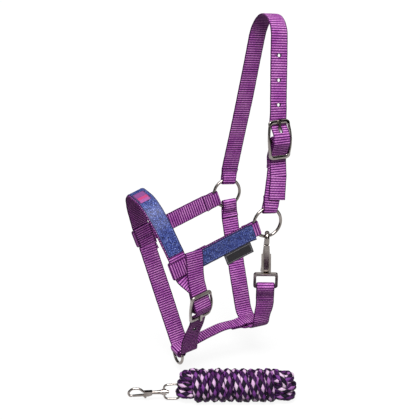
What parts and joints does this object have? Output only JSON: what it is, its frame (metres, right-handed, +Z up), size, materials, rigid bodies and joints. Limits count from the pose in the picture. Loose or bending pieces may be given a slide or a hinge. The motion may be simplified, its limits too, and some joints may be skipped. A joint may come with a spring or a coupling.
{
  "type": "horse head collar with lead rope",
  "caption": "Webbing head collar for a horse, buckled at the crown and chin with a throat snap, and a braided lead rope wound into a hank.",
  "frame": {"origin": "on the horse's poll, under the middle of the crown strap's top", "axes": "+Z up, the nose points to -Y, the near side (the horse's left, where the buckles are) is +X"},
  "size_m": [0.2309, 0.2478, 0.4992],
  "materials": {
    "webbing": "ribbed purple webbing",
    "glitter_cover": "speckled blue glitter",
    "patch": "woven patch",
    "label": "black woven label",
    "hardware": "polished nickel plate",
    "rope": "braided, black, plum and lilac"
  },
  "bodies": {
    "collar": {"crown_strap": "webbing", "crown_chape": "webbing", "near_cheek_strap": "webbing", "off_cheek_strap": "webbing", "noseband_strap": "webbing", "chin_strap": "webbing", "throat_strap": "webbing", "back_strap": "webbing", "nose_overlay": "glitter_cover", "near_cheek_overlay": "glitter_cover", "nose_patch": "patch", "label_tab": "label", "crown_buckle_frame": "hardware", "chin_buckle_frame": "hardware", "throat_snap_body": "hardware", "throat_snap_pin": "hardware", "throat_snap_spring": "hardware"},
    "near_ring": {"near_ring": "hardware"},
    "off_ring": {"off_ring": "hardware"},
    "chin_dee": {"chin_dee": "hardware"},
    "crown_tongue": {"crown_buckle_tongue": "hardware"},
    "chin_tongue": {"chin_buckle_tongue": "hardware"},
    "throat_gate": {"throat_snap_gate": "hardware"},
    "lead_rope": {"lead_rope_hank": "rope", "lead_snap_eye": "hardware"},
    "lead_snap": {"lead_snap_body": "hardware", "lead_snap_pin": "hardware", "lead_snap_spring": "hardware"},
    "lead_trigger": {"lead_snap_trigger": "hardware"}
  },
  "joints": [
    {"name": "near_ring_turn", "type": "hinge", "parent": "collar", "child": "near_ring", "pos_m": [0.0655, -0.03319, -0.26644], "axis": [1, 0, 0], "continuous": true},
    {"name": "off_ring_turn", "type": "hinge", "parent": "collar", "child": "off_ring", "pos_m": [-0.0655, -0.03319, -0.26644], "axis": [1, 0, 0], "continuous": true},
    {"name": "chin_dee_swing", "type": "hinge", "parent": "collar", "child": "chin_dee", "pos_m": [0, -0.1371, -0.4654], "axis": [1, 0, 0], "range_deg": [-80, 60]},
    {"name": "crown_tongue_lift", "type": "hinge", "parent": "collar", "child": "crown_tongue", "pos_m": [0.064, -0.01804, -0.15294], "axis": [-0.0025, 0.996, -0.089], "range_deg": [0, 2]},
    {"name": "chin_tongue_lift", "type": "hinge", "parent": "collar", "child": "chin_tongue", "pos_m": [0.071, -0.13302, -0.37113], "axis": [0.1033, -0.9665, -0.2351], "range_deg": [0, 2]},
    {"name": "throat_gate_press", "type": "hinge", "parent": "collar", "child": "throat_gate", "pos_m": [0.05425, -0.02871, -0.33958], "axis": [-0.4067, -0.9135, 0.0091], "range_deg": [0, 7], "stiffness_Nm_per_rad": 0.03, "springref_deg": -17.19, "deforming": ["throat_snap_spring"]},
    {"name": "lead_rope_apart", "type": "slide", "parent": "collar", "child": "lead_rope", "axis": [0.646, -0.2876, 0.7071], "range_m": [0, 0.3]},
    {"name": "lead_snap_swivel", "type": "hinge", "parent": "lead_rope", "child": "lead_snap", "pos_m": [0.07595, -0.1897, -0.483], "axis": [-0.4062, -0.9123, -0.0523], "continuous": true},
    {"name": "lead_trigger_press", "type": "hinge", "parent": "lead_snap", "child": "lead_trigger", "pos_m": [0.06648, -0.21097, -0.48582], "axis": [-0.9135, 0.4067, 0], "range_deg": [0, 14], "stiffness_Nm_per_rad": 0.01, "springref_deg": -17.19, "deforming": ["lead_snap_spring"]}
  ]
}
